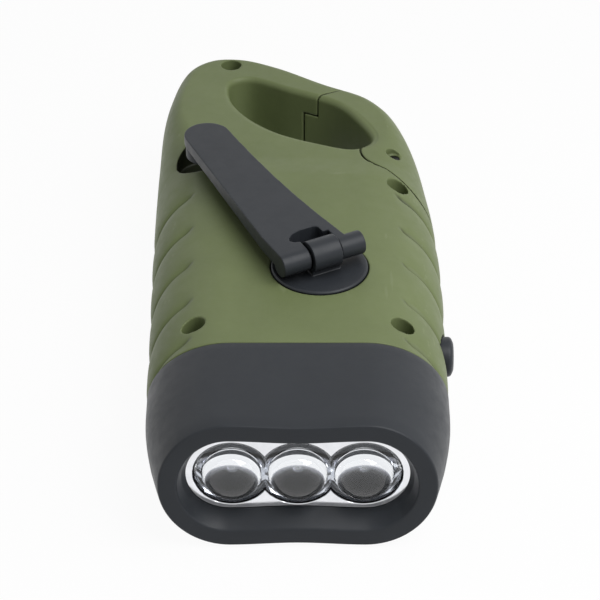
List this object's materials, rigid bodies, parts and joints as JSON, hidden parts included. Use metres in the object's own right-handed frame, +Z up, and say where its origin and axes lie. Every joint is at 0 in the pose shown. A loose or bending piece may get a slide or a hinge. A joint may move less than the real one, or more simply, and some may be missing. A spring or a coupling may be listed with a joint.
{
  "type": "hand crank flashlight",
  "caption": "Hand crank flashlight: lamp head, scalloped half shells, folding crank arm geared to a generator, side push button and a snap gate carry loop.",
  "frame": {"origin": "on the flat underside of the case, half way along its length, on the crank side's centre line of the lamp head", "axes": "+X to the push button's side, +Y from the lamps to the carry loop, +Z up through the crank"},
  "size_m": [0.0617, 0.1427, 0.036],
  "materials": {
    "olive_plastic": "moulded, fine satin grain",
    "black_plastic": "moulded, satin, dark grey",
    "chrome": "vacuum metallised",
    "clear_plastic": "clear, polished",
    "steel": "plated",
    "nylon": "natural, dry",
    "magnet": "sintered ferrite",
    "copper": "enamelled copper winding",
    "board": "green laminate",
    "cell": "shrink sleeve"
  },
  "bodies": {
    "case": {"top_shell": "olive_plastic", "bottom_shell": "olive_plastic", "gate_pin": "steel", "head_bezel": "black_plastic", "reflector": "chrome", "lens_array": "clear_plastic", "led_board": "board", "led_left": "clear_plastic", "led_centre": "clear_plastic", "led_right": "clear_plastic", "second_spindle": "steel", "third_spindle": "steel", "rotor_spindle": "steel", "stator_core": "steel", "stator_coil": "copper", "gear_frame": "nylon", "circuit_board": "board", "battery_pack": "cell", "switch_body": "black_plastic", "frame_screw_1": "steel", "frame_screw_2": "steel", "frame_screw_3": "steel", "front_left_screw": "steel", "front_right_screw": "steel", "rear_right_screw": "steel", "tail_screw": "steel"},
    "crank": {"crank_hub": "black_plastic", "crank_gear": "nylon", "hub_washer": "steel", "hub_screw": "steel"},
    "arm": {"crank_arm": "black_plastic", "hinge_pin": "steel", "knob_pin": "steel"},
    "knob": {"crank_knob": "black_plastic"},
    "second": {"second_gear": "nylon"},
    "third": {"third_gear": "nylon"},
    "rotor": {"rotor_pinion": "nylon", "rotor_magnet": "magnet"},
    "gate": {"loop_gate": "olive_plastic"},
    "button": {"side_button": "black_plastic", "switch_plunger": "nylon"}
  },
  "joints": [
    {"name": "crank_spin", "type": "hinge", "parent": "case", "child": "crank", "pos_m": [0.0043, -0.01991, 0.029], "axis": [0, 0, 1], "continuous": true},
    {"name": "arm_fold", "type": "hinge", "parent": "crank", "child": "arm", "pos_m": [0.00473, -0.0207, 0.03275], "axis": [0.8796, 0.4756, 0], "range_deg": [0, 180]},
    {"name": "knob_spin", "type": "hinge", "parent": "arm", "child": "knob", "pos_m": [-0.01938, 0.0222, 0.0304], "axis": [0, 0, 1], "continuous": true},
    {"name": "second_spin", "type": "hinge", "parent": "case", "child": "second", "pos_m": [-0.01131, -0.02438, 0.0179], "axis": [0, 0, 1], "continuous": true},
    {"name": "third_spin", "type": "hinge", "parent": "case", "child": "third", "pos_m": [-0.00407, -0.01184, 0.0145], "axis": [0, 0, 1], "continuous": true},
    {"name": "rotor_spin", "type": "hinge", "parent": "case", "child": "rotor", "pos_m": [-0.00185, 0.00071, 0.008], "axis": [0, 0, 1], "continuous": true},
    {"name": "gate_swing", "type": "hinge", "parent": "case", "child": "gate", "pos_m": [0.0206, 0.0261, 0.0145], "axis": [0, 0, 1], "range_deg": [0, 18], "stiffness_Nm_per_rad": 0.06, "springref_deg": -20.05},
    {"name": "button_press", "type": "slide", "parent": "case", "child": "button", "axis": [-1, 0, 0], "range_m": [0, 0.0012], "stiffness_N_per_m": 1500, "springref_m": -0.0006}
  ],
  "couplings": [
    {"joint": "second_spin", "follows": "crank_spin", "ratio": -3.6},
    {"joint": "third_spin", "follows": "crank_spin", "ratio": 11.16},
    {"joint": "rotor_spin", "follows": "crank_spin", "ratio": -29.016}
  ]
}
